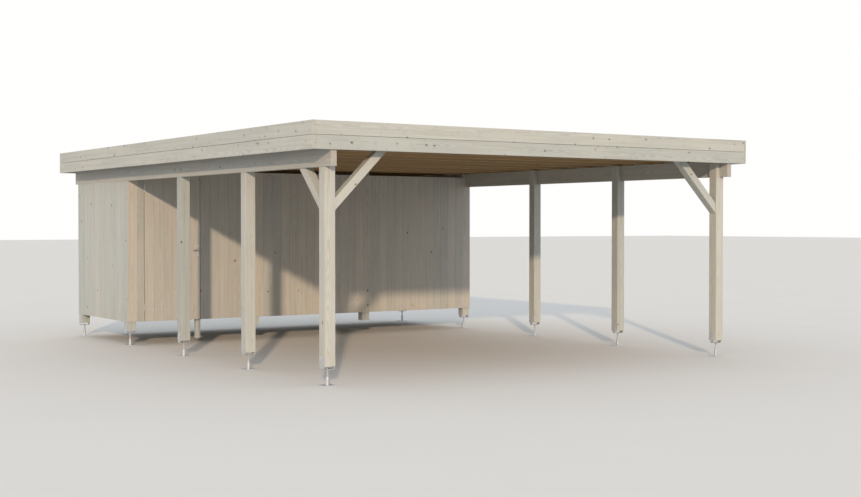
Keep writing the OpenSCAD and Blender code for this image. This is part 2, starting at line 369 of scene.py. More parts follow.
def tongued(width, depth, joint, tongue, first, last):
    """Section of a tongued board, counter-clockwise, its face along the first axis.

    The face's two edges slope off by the joint. The tongue is a third of the thickness. The first
    board of a wall has no groove and the last has no tongue.
    """
    third = depth / 3
    slack = 0.0004
    right = [(width - joint, 0), (width - slack, joint)]
    if not last:
        right += [(width - slack, third), (width + tongue, third + slack),
                  (width + tongue, 2 * third - slack), (width - slack, 2 * third)]
    right += [(width - slack, depth)]
    left = [(slack, depth)]
    if not first:
        left += [(slack, 2 * third + slack), (tongue + slack, 2 * third + slack),
                 (tongue + slack, third - slack), (slack, third - slack)]
    left += [(slack, joint), (joint, 0)]
    return np.array(right + left, float)


# ---------------------------------------------------------------- parts of meshes


def prism(outline, span, basis, arris):
    """Carries a closed outline along the third direction of a basis.

    The outline lies in the first two directions. The first and the last ring are the outline moved
    inwards by the arris, and the two between are the outline itself, an arris from either end.
    """
    inner = inset(outline, arris)
    sections = [(inner, span[0]), (outline, span[0] + arris),
                (outline, span[1] - arris), (inner, span[1])]
    rings = [np.column_stack([o, np.full(len(o), w)]) for o, w in sections]
    return loft(np.stack(rings) @ np.asarray(basis, float), np.linalg.det(basis) < 0)


def loft(rings, flip=False):
    """Joins closed rings of points, rows by points by three, and closes the first and the last.

    The surface is a grid whose columns wrap round, with one flat face at either end. The corners
    of all its faces stand in one row, and sizes says how many of them each face takes.
    """
    rows, count = rings.shape[:2]
    k = np.arange(count)
    on = (k + 1) % count
    start = np.arange(rows - 1)[:, None] * count
    quads = np.stack([start + k, start + on, start + on + count, start + k + count], 2)
    quads = quads.reshape(-1, 4)
    first, last = k[::-1], (rows - 1) * count + k
    if flip:
        quads, first, last = quads[:, ::-1], first[::-1], last[::-1]
    return {
        "points": rings.reshape(-1, 3),
        "corners": np.concatenate([quads.ravel(), first, last]),
        "sizes": np.array([4] * len(quads) + [count, count]),
    }


def moved(part, offset):
    """A part carried along by one offset."""
    part["points"] = part["points"] + offset
    return part


def frame_of(direction):
    """Three directions at right angles, of which the third is the one given."""
    third = np.asarray(direction, float) / np.linalg.norm(direction)
    helper = X if abs(third[2]) > 0.9 else Z
    first = np.cross(helper, third)
    first /= np.linalg.norm(first)
    return np.stack([first, np.cross(third, first), third])


def lathe(profile, centre, direction, around=24, flats=None):
    """Turns a profile of (distance along, radius) about a line.

    With flats, the radius is the smaller of the profile's and flats / (2 cos a), where a is the
    angle from the nearest of six flats, which makes a hexagon with turned-off corners.
    """
    profile = np.asarray(profile, float)
    angle = np.arange(around) * 2 * math.pi / around
    radius = np.repeat(profile[:, 1:2], around, 1)
    if flats:
        off = (angle + math.pi / 6) % (math.pi / 3) - math.pi / 6
        radius = np.minimum(radius, flats / 2 / np.cos(off)[None, :])
    local = np.stack([radius * np.cos(angle), radius * np.sin(angle),
                      np.repeat(profile[:, 0:1], around, 1)], 2)
    return loft(local @ frame_of(direction) + np.asarray(centre, float))


def sweep(path, radii, around=20):
    """Carries a circle along a path, with its own radius at each point.

    Each ring stands square to the path there, and its first direction is level.
    """
    path = np.asarray(path, float)
    tangent = np.gradient(path, axis=0)
    tangent /= np.linalg.norm(tangent, axis=1)[:, None]
    up = np.repeat(Z[None, :], len(path), 0)
    side = np.cross(up, tangent)
    side /= np.linalg.norm(side, axis=1)[:, None]
    other = np.cross(tangent, side)
    angle = np.arange(around) * 2 * math.pi / around
    ring = (np.cos(angle)[None, :, None] * side[:, None, :]
            + np.sin(angle)[None, :, None] * other[:, None, :])
    return loft(path[:, None, :] + ring * np.asarray(radii, float)[:, None, None])


def thread(centre, low, high, radius, pitch, depth=0.0013, around=24, steps=6):
    """A screw: the radius falls and rises by a cosine of height / pitch - angle / turn."""
    angle = np.arange(around) * 2 * math.pi / around
    height = np.arange(low, high, pitch / steps)
    wave = np.cos(2 * math.pi * height[:, None] / pitch - angle[None, :])
    r = radius - depth / 2 * (1 - wave)
    z = np.repeat(height[:, None], around, 1)
    return loft(np.stack([r * np.cos(angle), r * np.sin(angle), z], 2) + [centre[0], centre[1], 0])


def sawn(part, along, across, seed, kind="squared"):
    """Gives a part its place in the log, a shade of its own, and marks its end grain.

    The place has two coordinates across the log from its pith, and one along it. The pith lies
    off the part's middle by up to the kind's distance across, by 0.6 to 1.6 times its distance in
    depth, and leans by up to 1.5 %. The part starts anywhere in the first 60 m of an endless log.
    """
    heart = PITH[kind]
    end_grain = 0.6
    tone_spread = 0.035
    rng = np.random.default_rng(seed)
    points = part["points"]
    along = np.asarray(along, float) / np.linalg.norm(along)
    across = np.asarray(across, float)
    depth = np.cross(along, across)
    middle = (points.min(0) + points.max(0)) / 2
    local = (points - middle) @ np.stack([across, depth, along], 1)
    off = rng.uniform(-1, 1, 2) * heart
    off[1] += math.copysign(heart[1] * 0.6, off[1])
    lean = rng.uniform(-0.015, 0.015, 2)
    local[:, :2] += off + local[:, 2:] * lean
    local[:, 2] += rng.uniform(0, 60)
    start = np.cumsum(part["sizes"]) - part["sizes"]
    first = part["corners"][start[:, None] + np.arange(3)]
    normal = np.cross(points[first[:, 1]] - points[first[:, 0]],
                      points[first[:, 2]] - points[first[:, 1]])
    normal /= np.maximum(np.linalg.norm(normal, axis=1), 1e-12)[:, None]
    part["log"] = local
    part["tone"] = np.full(len(points), rng.normal(0, tone_spread))
    part["end"] = (np.abs(normal @ along) > end_grain).astype(float)
    return part


# ---------------------------------------------------------------- objects


def put(name, parts, nodes=(), like=None, smooth=None, look=None):
    """Makes one object of several parts, which rides on its node's body.

    nodes are the CAD nodes that it stands for, and like names a node whose body and material slot
    it shares where it stands for none. look is its finish where that isn't its slot's own.
    """
    points = np.concatenate([p["points"] for p in parts])
    starts = np.cumsum([0] + [len(p["points"]) for p in parts])
    numbers = np.concatenate([p["corners"] + start for p, start in zip(parts, starts)])
    ends = np.cumsum(np.concatenate([p["sizes"] for p in parts]))
    mesh = bpy.data.meshes.new(name)
    mesh.from_pydata(points.tolist(), [], np.split(numbers, ends[:-1]))
    if all("log" in p for p in parts):
        for key, kind, field, domain in (("log", "FLOAT_VECTOR", "vector", "POINT"),
                                         ("tone", "FLOAT", "value", "POINT"),
                                         ("end", "FLOAT", "value", "FACE")):
            values = np.concatenate([p[key] for p in parts]).astype(np.float32)
            mesh.attributes.new(key, kind, domain).data.foreach_set(field, values.ravel())
    if mesh.validate():
        raise RuntimeError(f"{name}: its mesh has faces that can't stand")
    if smooth is not None:
        mesh.shade_smooth()
        mesh.set_sharp_from_angle(angle=math.radians(smooth))
    piece = bpy.data.objects.new(name, mesh)
    bpy.context.scene.collection.objects.link(piece)
    model = nodes[0] if nodes else like
    mesh.materials.append(finish(look or SLOT_OF[model]))
    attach(piece, BODY_OF[model])
    if nodes:
        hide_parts(*nodes)


def seed_of(*words):
    """A number that is the same each run for the same words."""
    return zlib.crc32("_".join(str(w) for w in words).encode())


def timber(low, high, arris, seed, kind="squared"):
    """One squared timber between two corners, its grain along its longest side."""
    size = high - low
    along = int(np.argmax(size))
    first, second = [a for a in range(3) if a != along]
    if size[first] < size[second]:
        first, second = second, first
    basis = AXES[[first, second, along]]
    outline = cut_corners(rectangle(low[[first, second]], high[[first, second]]), arris)
    part = prism(outline, (low[along], high[along]), basis, arris)
    return sawn(part, AXES[along], AXES[first], seed, kind)


def timbers(node, arris, kind="squared"):
    """Every solid of a CAD node as a squared timber, in one piece that stands for the node."""
    parts = [timber(low, high, arris, seed_of(node, k), kind)
             for k, (low, high) in enumerate(solids(node))]
    put(node + "_timber", parts, [node])


def boarding(low, high, across, along, outward, pitch, seed):
    """Tongued boards that fill a box between two corners, and the joints between them.

    Board k's section starts k pitches from the low edge; the pitch is made to fit a whole number
    of boards.
    """
    end_cut = 0.0005
    s = settings("timber")
    a, g = int(np.argmax(across)), int(np.argmax(along))
    d = int(np.argmax(np.abs(outward)))
    count = max(1, round((high[a] - low[a]) / pitch))
    width = (high[a] - low[a]) / count
    face = high[d] if outward[d] > 0 else low[d]
    basis = np.stack([across, -outward, along])
    parts = []
    for k in range(count):
        section = tongued(width, high[d] - low[d], s.joint, s.tongue, k == 0, k == count - 1)
        part = moved(prism(section, (low[g], high[g]), basis, end_cut),
                     across * (low[a] + k * width) + AXES[d] * face)
        parts.append(sawn(part, along, across, seed_of(seed, k), "board"))
    return parts


def notched(low, high, notch, bottom, side, seed):
    """A wall's end board, cut away at its top by the beam on its side, -1 left or 1 right.

    Its outline in width and height is an L, carried through its thickness.
    """
    x0, x1, top = low[0], high[0], high[2]
    if side < 0:
        upper = [(x1, top), (notch, top), (notch, bottom), (x0, bottom)]
    else:
        upper = [(x1, bottom), (notch, bottom), (notch, top), (x0, top)]
    outline = np.array([(x0, low[2]), (x1, low[2])] + upper, float)
    part = prism(outline, (-high[1], -low[1]), UPRIGHT, settings("timber").joint)
    return sawn(part, Z, X, seed, "board")


def heads(places, outward, radius, rise=0.0006, around=10):
    """Low round nail heads at many places at once.

    Each has three rings: one sunk in the surface by the rise, one level with it, and one of seven
    tenths of the radius that stands off by the rise, under a flat top.
    """
    places = np.atleast_2d(np.asarray(places, float))
    basis = frame_of(outward)
    angle = np.arange(around) * 2 * math.pi / around
    circle = np.column_stack([np.cos(angle), np.sin(angle), np.zeros(around)])
    rings = np.stack([circle * radius + [0, 0, -rise], circle * radius,
                      circle * radius * 0.7 + [0, 0, rise]]) @ basis
    return [loft(rings + place) for place in places]


def fixings(name, places, outward, radius, rise=0.0006, around=10, steel=FRAME_STEEL):
    """One piece of many nail or screw heads."""
    put(name, heads(places, outward, radius, rise, around), like=steel, smooth=ROUND_HEADS)


def spot(first, second, on_first, on_second, height):
    """A place from its coordinates on two level axes, given by number, and its height."""
    place = np.zeros(3)
    place[first], place[second], place[2] = on_first, on_second, height
    return place


# ---------------------------------------------------------------- finishes


def add(tree, kind, inputs=None, **values):
    """Adds a shader node, sets it up, and gives its inputs values or links."""
    made = tree.nodes.new(kind)
    for key, value in values.items():
        setattr(made, key, value)
    for key, value in (inputs or {}).items():
        if isinstance(value, bpy.types.NodeSocket):
            tree.links.new(value, made.inputs[key])
        else:
            made.inputs[key].default_value = value
    return made


def sums(tree, operation, first, second=0.0, third=0.0):
    """A Math node's result."""
    return add(tree, "ShaderNodeMath", {0: first, 1: second, 2: third},
               operation=operation).outputs[0]


def stretch(tree, vector, scale):
    """A vector multiplied axis by axis."""
    return add(tree, "ShaderNodeVectorMath", {0: vector, 1: scale},
               operation="MULTIPLY").outputs[0]


def noise(tree, vector, scale, detail=2.0, rough=0.5):
    """A noise pattern's value."""
    return add(tree, "ShaderNodeTexNoise", {
        "Vector": stretch(tree, vector, scale), "Scale": 1.0, "Detail": detail,
        "Roughness": rough}).outputs[0]


def spread(tree, value, low, high, to_low, to_high, smooth=True):
    """A value moved from one range to another, clamped."""
    return add(tree, "ShaderNodeMapRange", {
        "Value": value, "From Min": low, "From Max": high, "To Min": to_low, "To Max": to_high},
        interpolation_type="SMOOTHSTEP" if smooth else "LINEAR").outputs[0]


def mix(tree, share, first, second, blend="MIX"):
    """Two colours mixed."""
    made = tree.nodes.new("ShaderNodeMix")
    made.data_type = "RGBA"
    made.blend_type = blend
    for socket, value in ((made.inputs[0], share), (made.inputs[6], first), (made.inputs[7], second)):
        if isinstance(value, bpy.types.NodeSocket):
            tree.links.new(value, socket)
        elif socket.type == "RGBA":
            socket.default_value = (*value[:3], 1.0)
        else:
            socket.default_value = value
    return made.outputs[2]


def material(name, **sockets):
    """A new material, its node tree and its Principled shader, with plain sockets set."""
    made = bpy.data.materials.new(name)
    made.use_nodes = True
    tree = made.node_tree
    shader = tree.nodes["Principled BSDF"]
    for key, value in sockets.items():
        shader.inputs[key].default_value = value
    return made, tree, shader


def spruce(name, pale, late, knots, ring_share, sawmarks):
    """Spruce, sawn from a log: rings about the pith, fibres along it, and knots.

    The ring's number is the distance from the pith, bent by a slow and a quick noise and pushed out
    round each knot, over the ring width. A ring darkens slowly and ends sharply. Knots are balls
    round scattered points, a little long, so the saw cuts them at any size.
    """
    smallest_knot, largest_knot = 0.001, 0.0125
    knot_edge, knot_heart, knot_halo, knot_push = 0.0012, 0.006, 0.022, 0.012
    slow_bend, quick_bend = 0.035, 0.0045
    s, c = settings("timber"), settings("colours")
    made, tree, shader = material(name, **{"Specular IOR Level": 0.28})
    log = add(tree, "ShaderNodeAttribute", attribute_name="log").outputs["Vector"]
    tone = add(tree, "ShaderNodeAttribute", attribute_name="tone").outputs["Fac"]
    end = add(tree, "ShaderNodeAttribute", attribute_name="end").outputs["Fac"]
    axes = add(tree, "ShaderNodeSeparateXYZ", {0: log}).outputs
    slow = noise(tree, log, WANDER)
    quick = noise(tree, log, RIPPLE)
    fibre = noise(tree, log, FIBRE, 3.0, 0.65)
    streak = noise(tree, log, STREAK, 3.0, 0.55)
    cloud = noise(tree, log, CLOUD)

    cells = add(tree, "ShaderNodeTexVoronoi", {"Vector": stretch(tree, log, (1.0, 1.0, 0.85)),
                                               "Scale": knots})
    far = sums(tree, "DIVIDE", cells.outputs["Distance"], knots)
    pick = add(tree, "ShaderNodeSeparateColor", {0: cells.outputs["Color"]}).outputs
    size = spread(tree, pick[0], 0.0, 1.0, smallest_knot, largest_knot, False)
    inside = sums(tree, "SUBTRACT", size, far)
    knot = spread(tree, inside, -knot_edge, knot_edge, 0.0, 1.0)
    heart = spread(tree, inside, 0.0, knot_heart, 1.0, 0.35)
    halo = spread(tree, inside, -knot_halo, 0.0, 0.0, 1.0)
    push = sums(tree, "MULTIPLY", halo, knot_push)

    radius = sums(tree, "SQRT", sums(tree, "ADD", sums(tree, "MULTIPLY", axes[0], axes[0]),
                                     sums(tree, "MULTIPLY", axes[1], axes[1])))
    bent = sums(tree, "MULTIPLY_ADD", sums(tree, "SUBTRACT", slow, 0.5), slow_bend, radius)
    bent = sums(tree, "MULTIPLY_ADD", sums(tree, "SUBTRACT", quick, 0.5), quick_bend, bent)
    bent = sums(tree, "ADD", bent, push)
    phase = sums(tree, "FRACT", sums(tree, "DIVIDE", bent, s.ring))
    rise = spread(tree, phase, 0.25, 0.86, 0.0, 1.0)
    fall = spread(tree, phase, 0.88, 1.0, 1.0, 0.0)
    ring = sums(tree, "MULTIPLY", rise, fall)

    share = sums(tree, "MULTIPLY", ring, spread(tree, cloud, 0.3, 0.7, 0.35 * ring_share,
                                                1.25 * ring_share))
    share = sums(tree, "ADD", share, spread(tree, streak, 0.35, 0.75, -0.05, 0.24))
    share = sums(tree, "ADD", share, spread(tree, fibre, 0.3, 0.7, -0.07, 0.11))
    share = sums(tree, "ADD", share, sums(tree, "MULTIPLY", halo, 0.22))
    share = add(tree, "ShaderNodeClamp", {0: share}).outputs[0]
    colour = mix(tree, share, pale, late)
    colour = mix(tree, spread(tree, cloud, 0.35, 0.72, 0.0, 0.35), colour,
                 (pale[0] * 0.90, pale[1] * 0.95, pale[2] * 1.0))
    blush = spread(tree, tone, -0.06, 0.06, 0.0, 1.0)
    tint = mix(tree, blush, (0.975, 1.0, 1.015), (1.025, 0.99, 0.968))
    colour = mix(tree, 1.0, colour, tint, "MULTIPLY")
    colour = mix(tree, sums(tree, "MULTIPLY", end, 0.25), colour,
                 (late[0] * 0.85, late[1] * 0.82, late[2] * 0.78))
    knot_colour = mix(tree, heart, tuple(v * 1.9 for v in c.knot), tuple(c.knot))
    colour = mix(tree, knot, colour, knot_colour)
    shade = sums(tree, "ADD", tone, 1.0)
    grey = add(tree, "ShaderNodeCombineColor", {0: shade, 1: shade, 2: shade}).outputs[0]
    colour = mix(tree, 1.0, colour, grey, "MULTIPLY")
    tree.links.new(colour, shader.inputs["Base Color"])

    rough = sums(tree, "MULTIPLY_ADD", fibre, 0.16, spread(tree, ring, 0.0, 1.0, 0.60, 0.48))
    tree.links.new(rough, shader.inputs["Roughness"])
    height = sums(tree, "MULTIPLY_ADD", fibre, 0.55, sums(tree, "MULTIPLY", ring, 0.4))
    height = sums(tree, "MULTIPLY_ADD", knot, 0.6, height)
    if sawmarks:
        chatter = noise(tree, log, CHATTER, 1.0)
        height = sums(tree, "MULTIPLY_ADD", chatter, sawmarks, height)
    bump = add(tree, "ShaderNodeBump", {"Strength": 0.35, "Distance": 0.0007, "Height": height})
    tree.links.new(bump.outputs[0], shader.inputs["Normal"])
    return made


def galvanised(name, colour):
    """Hot-dip zinc: crystals of slightly different grey, dulled in clouds, faintly rough."""
    made, tree, shader = material(name, Metallic=0.6)
    place = add(tree, "ShaderNodeTexCoord").outputs["Object"]
    cells = add(tree, "ShaderNodeTexVoronoi", {"Vector": place, "Scale": 130.0})
    crystal = add(tree, "ShaderNodeSeparateColor", {0: cells.outputs["Color"]}).outputs[0]
    cloud = noise(tree, place, (35.0, 35.0, 35.0), 3.0)
    share = sums(tree, "MULTIPLY_ADD", crystal, 0.45, spread(tree, cloud, 0.3, 0.7, 0.0, 0.5))
    base = mix(tree, share, colour, tuple(v * 0.72 for v in colour))
    tree.links.new(base, shader.inputs["Base Color"])
    rough = sums(tree, "MULTIPLY_ADD", crystal, 0.14, spread(tree, cloud, 0.3, 0.7, 0.36, 0.56))
    tree.links.new(rough, shader.inputs["Roughness"])
    grain = noise(tree, place, (900.0, 900.0, 900.0), 2.0)
    bump = add(tree, "ShaderNodeBump", {"Strength": 0.2, "Distance": 0.0003,
                                        "Height": sums(tree, "MULTIPLY_ADD", crystal, 0.4, grain)})
    tree.links.new(bump.outputs[0], shader.inputs["Normal"])
    return made


def satin_steel(name, colour):
    """Brushed steel: fine lines along its length, handled smoother in places."""
    made, tree, shader = material(name, Metallic=1.0)
    place = add(tree, "ShaderNodeTexCoord").outputs["Object"]
    lines = noise(tree, place, (60.0, 2600.0, 2600.0), 2.0)
    worn = noise(tree, place, (40.0, 40.0, 40.0), 3.0)
    base = mix(tree, spread(tree, worn, 0.35, 0.7, 0.0, 0.6), colour, tuple(v * 0.8 for v in colour))
    tree.links.new(base, shader.inputs["Base Color"])
    rough = sums(tree, "MULTIPLY_ADD", lines, 0.12, spread(tree, worn, 0.3, 0.7, 0.22, 0.36))
    tree.links.new(rough, shader.inputs["Roughness"])
    bump = add(tree, "ShaderNodeBump", {"Strength": 0.12, "Distance": 0.0002, "Height": lines})
    tree.links.new(bump.outputs[0], shader.inputs["Normal"])
    return made


def mineral_felt(name, colour):
    """Roofing felt: coarse slate granules of mixed greys, with paler dust where water has stood."""
    made, tree, shader = material(name, **{"Specular IOR Level": 0.3})
    place = add(tree, "ShaderNodeTexCoord").outputs["Object"]
    cells = add(tree, "ShaderNodeTexVoronoi", {"Vector": place, "Scale": 420.0})
    grain = add(tree, "ShaderNodeSeparateColor", {0: cells.outputs["Color"]}).outputs[0]
    dust = noise(tree, place, (0.8, 0.8, 0.8), 4.0, 0.6)
    base = mix(tree, grain, tuple(v * 0.6 for v in colour), tuple(v * 2.1 for v in colour))
    base = mix(tree, spread(tree, dust, 0.40, 0.80, 0.0, 0.16), base, (0.20, 0.19, 0.17))
    tree.links.new(base, shader.inputs["Base Color"])
    tree.links.new(spread(tree, grain, 0.0, 1.0, 0.78, 0.96), shader.inputs["Roughness"])
    bump = add(tree, "ShaderNodeBump", {"Strength": 0.6, "Distance": 0.0012, "Height": grain})
    tree.links.new(bump.outputs[0], shader.inputs["Normal"])
    return made


def finish(slot):
    """The material of a slot or a special finish, made the first time it is asked for."""
    name = slot + "_finish"
    if name in bpy.data.materials:
        return bpy.data.materials[name]
    c = settings("colours")
    if slot in SPRUCE:
        pale, late, *grain = SPRUCE[slot]
        return spruce(name, tuple(getattr(c, pale)), tuple(getattr(c, late)), *grain)
    maker, colour = {
        "roofing_felt": (mineral_felt, c.felt),
        "galvanised_steel": (galvanised, c.zinc),
        "fitting_steel": (satin_steel, c.steel),
    }[slot]
    return maker(name, tuple(colour))


def dress(node):
    """Gives a CAD node that stays in view the material of its slot."""
    piece = frame["nodes"][node]
    if not piece.material_slots:
        raise RuntimeError(f"{node} has no material slot")
    for slot in piece.material_slots:
        slot.material = finish(SLOT_OF[node])


# ---------------------------------------------------------------- operators


class CARPORT_OT_posts(bpy.types.Operator):
    """Side posts, notched for the side beam, and the posts in the store room's walls"""

    bl_idname = "carport.posts"
    bl_label = "Posts"

    def execute(self, context):
        arris = settings("timber").arris
        for side, sign in SIDES.items():
            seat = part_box("beam_" + side)
            for row in range(1, 6):
                node = f"post_{side}_{row}"
                low, high = box_of(node)
                inner, outer = (high[0], low[0]) if sign < 0 else (low[0], high[0])
                notch = seat[1].x if sign < 0 else seat[0].x
                outline = np.array([(outer, low[2]), (inner, low[2]), (inner, high[2]),
                                    (notch, high[2]), (notch, seat[0].z), (outer, seat[0].z)])
                if sign > 0:
                    outline = outline[::-1]
                part = prism(cut_corners(outline, arris), (-high[1], -low[1]), UPRIGHT, arris)
                put(node + "_timber", [sawn(part, Z, X, seed_of(node), "post")], [node])
        timbers("store_posts", arris)
        return {"FINISHED"}


class CARPORT_OT_beams(bpy.types.Operator):
    """Side beams, headers and rafters"""

    bl_idname = "carport.beams"
    bl_label = "Beams and rafters"

    def execute(self, context):
        arris = settings("timber").arris
        for node in ("beam_left", "beam_right"):
            timbers(node, arris, "beam")
        for node in ("headers", "rafters"):
            timbers(node, arris, "rafter")
        return {"FINISHED"}


class CARPORT_OT_braces(bpy.types.Operator):
    """Knee braces with the screws that hold them"""

    bl_idname = "carport.braces"
    bl_label = "Knee braces"

    def execute(self, context):
        arris = settings("timber").arris
        from_end, off_middle = 0.045, 0.022
        for side, sign in SIDES.items():
            for way in ("across", "along"):
                node = f"brace_{side}_{way}"
                low, high = box_of(node)
                z0, z1, z2 = levels(node, 2)
                rise = z1 - z0
                run = 0 if way == "across" else 1
                side_axis = 1 - run
                reach = high[run] - low[run]
                outline = np.array([(0, z0), (reach, z2), (reach - rise, z2), (0, z1)])
                toward = 1 if way == "along" or sign < 0 else -1
                start = low[run] if toward > 0 else high[run]
                basis = np.stack([AXES[run] * toward, Z, AXES[side_axis]])
                part = prism(cut_corners(outline, arris), (low[side_axis], high[side_axis]),
                             basis, arris)
                part = moved(part, AXES[run] * start)
                along = AXES[run] * toward + Z
                put(node + "_timber", [sawn(part, along, AXES[side_axis], seed_of(node))], [node])
                under = (AXES[run] * toward - Z) / math.sqrt(2)
                middle = (low[side_axis] + high[side_axis]) / 2
                places = [spot(run, side_axis, start + toward * t, middle + w, z0 + t)
                          for t in (from_end, reach - from_end) for w in (-off_middle, off_middle)]
                fixings(node + "_screws", places, under, 0.006, 0.0012, 12)
        return {"FINISHED"}


class CARPORT_OT_roof(bpy.types.Operator):
    """Tongued roof boards and the felt on them, with its laps and edge fillets"""

    bl_idname = "carport.roof"
    bl_label = "Roof"

    def execute(self, context):
        s, r = settings("timber"), settings("roofing")
        cut, lip, below_crest, overlap = 0.0004, 0.004, 0.004, 0.001
        low, high = box_of("roof_boards")
        put("roof_boards_tongued", boarding(low, high, X, Y, -Z, s.roof_pitch, "roof"),
            ["roof_boards"])
        low, high = box_of("roof_felt")
        count = round((high[0] - low[0]) / r.sheet)
        edge = low[0] + (high[0] - low[0]) / count * np.arange(1, count)
        step = np.stack([edge + r.lap, edge + r.lap - r.lap_rise, edge, edge - r.lap_rise], 1)
        rise = np.tile([0, r.lap_rise, r.lap_rise, 0], (len(edge), 1)) + high[2]
        top = np.stack([step[::-1].ravel(), rise[::-1].ravel()], 1)
        outline = np.concatenate([[(low[0], low[2]), (high[0], low[2]), (high[0], high[2])],
                                  top, [(low[0], high[2])]])
        parts = [prism(outline, (-high[1], -low[1]), UPRIGHT, cut)]
        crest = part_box("fascia_front")[1].z - below_crest
        for axis, end in ((0, 0), (0, 1), (1, 0), (1, 1)):
            edge_at = (low, high)[end][axis]
            inward = 1 if end == 0 else -1
            outline = np.array([(0, low[2]), (r.fillet, high[2] + overlap), (lip, crest), (0, crest)])
            basis = np.stack([AXES[axis] * inward, Z, AXES[1 - axis]])
            part = prism(outline, (low[1 - axis], high[1 - axis]), basis, cut)
            parts.append(moved(part, AXES[axis] * edge_at))
        put("roof_felt_sheets", parts, ["roof_felt"])
        return {"FINISHED"}


class CARPORT_OT_fascia(bpy.types.Operator):
    """Fascia boards and the nails into the rafters' ends"""

    bl_idname = "carport.fascia"
    bl_label = "Fascia"

    def execute(self, context):
        s = settings("timber")
        from_edge, from_end, across_count = 0.032, 0.05, 11
        rows = sorted((lo[1] + hi[1]) / 2 for n in ("rafters", "headers") for lo, hi in solids(n))
        for node, axis, sign in (("fascia_front", 1, -1), ("fascia_rear", 1, 1),
                                 ("fascia_left", 0, -1), ("fascia_right", 0, 1)):
            timbers(node, s.board_arris, "fascia")
            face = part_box(node)[0 if sign < 0 else 1][axis]
            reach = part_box("rafters")[1][1 - axis]
            if axis == 1:
                along = np.linspace(-reach + from_end, reach - from_end, across_count)
            else:
                along = rows
            places = [spot(axis, 1 - axis, face, t, z) for low, high in solids(node)
                      for z in (low[2] + from_edge, high[2] - from_edge) for t in along]
            fixings(node + "_nails", places, AXES[axis] * sign, s.nail)
        return {"FINISHED"}


class CARPORT_OT_walls(bpy.types.Operator):
    """Boarded walls of the store room, with their nails"""

    bl_idname = "carport.walls"
    bl_label = "Walls"

    def execute(self, context):
        s = settings("timber")
        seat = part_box("beam_left")[0].z
        notch = abs(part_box("beam_left")[1].x)
        least_width = 0.02
        rails = [(round((lo[2] + hi[2]) / 2, 3), hi[0] - lo[0] > hi[1] - lo[1])
                 for lo, hi in solids("wall_rails")]
        across_z = sorted({z for z, is_across in rails if is_across})
        # A side wall's bottom rail is level with the other walls' and has no nails.
        along_z = sorted({z for z, _ in rails} - set(across_z)) or across_z
        for node, outward, ends in (("left_wall", -X, ()), ("right_wall", X, ()),
                                    ("rear_wall", Y, (-1, 1)), ("front_wall", -Y, (1,)),
                                    ("front_wall_beside_door", -Y, (-1,)),
                                    ("front_wall_over_door", -Y, ())):
            low, high = box_of(node)
            d = int(np.argmax(np.abs(outward)))
            a = 1 - d
            inner_low, inner_high = low.copy(), high.copy()
            parts = []
            for end in ends:
                piece_low, piece_high = low.copy(), high.copy()
                if end < 0:
                    piece_high[0] = inner_low[0] = low[0] + s.wall_pitch
                else:
                    piece_low[0] = inner_high[0] = high[0] - s.wall_pitch
                parts.append(notched(piece_low, piece_high, end * notch, seat, end,
                                     seed_of(node, "end", end)))
            if inner_high[a] - inner_low[a] > least_width:
                parts += boarding(inner_low, inner_high, AXES[a], Z, outward, s.wall_pitch, node)
            # The front walls stand under the roof and keep the wall timber, painted warmer for the
            # bounce light there; the other walls take the plain spruce.
            sheltered = node.startswith("front_wall")
            put(node + "_boards", parts, [node], look=None if sheltered else "weathered_boards")
            face = (high if outward[d] > 0 else low)[d]
            count = max(1, round((high[a] - low[a]) / s.wall_pitch))
            pitch = (high[a] - low[a]) / count
            heights = [z for z in (across_z if a == 0 else along_z) if low[2] < z < high[2]]
            places = [spot(d, a, face, low[a] + (k + t) * pitch, z)
                      for k in range(count) for t in (0.22, 0.78) for z in heights]
            if places:
                fixings(node + "_nails", places, outward, s.nail, 0.0004, 8)
        return {"FINISHED"}


class CARPORT_OT_framing(bpy.types.Operator):
    """Rails, studs and door head inside the store room"""

    bl_idname = "carport.framing"
    bl_label = "Framing"

    def execute(self, context):
        arris = settings("timber").board_arris
        for node in ("wall_rails", "hinge_stud", "lock_stud", "door_head"):
            timbers(node, arris, "framing")
        return {"FINISHED"}


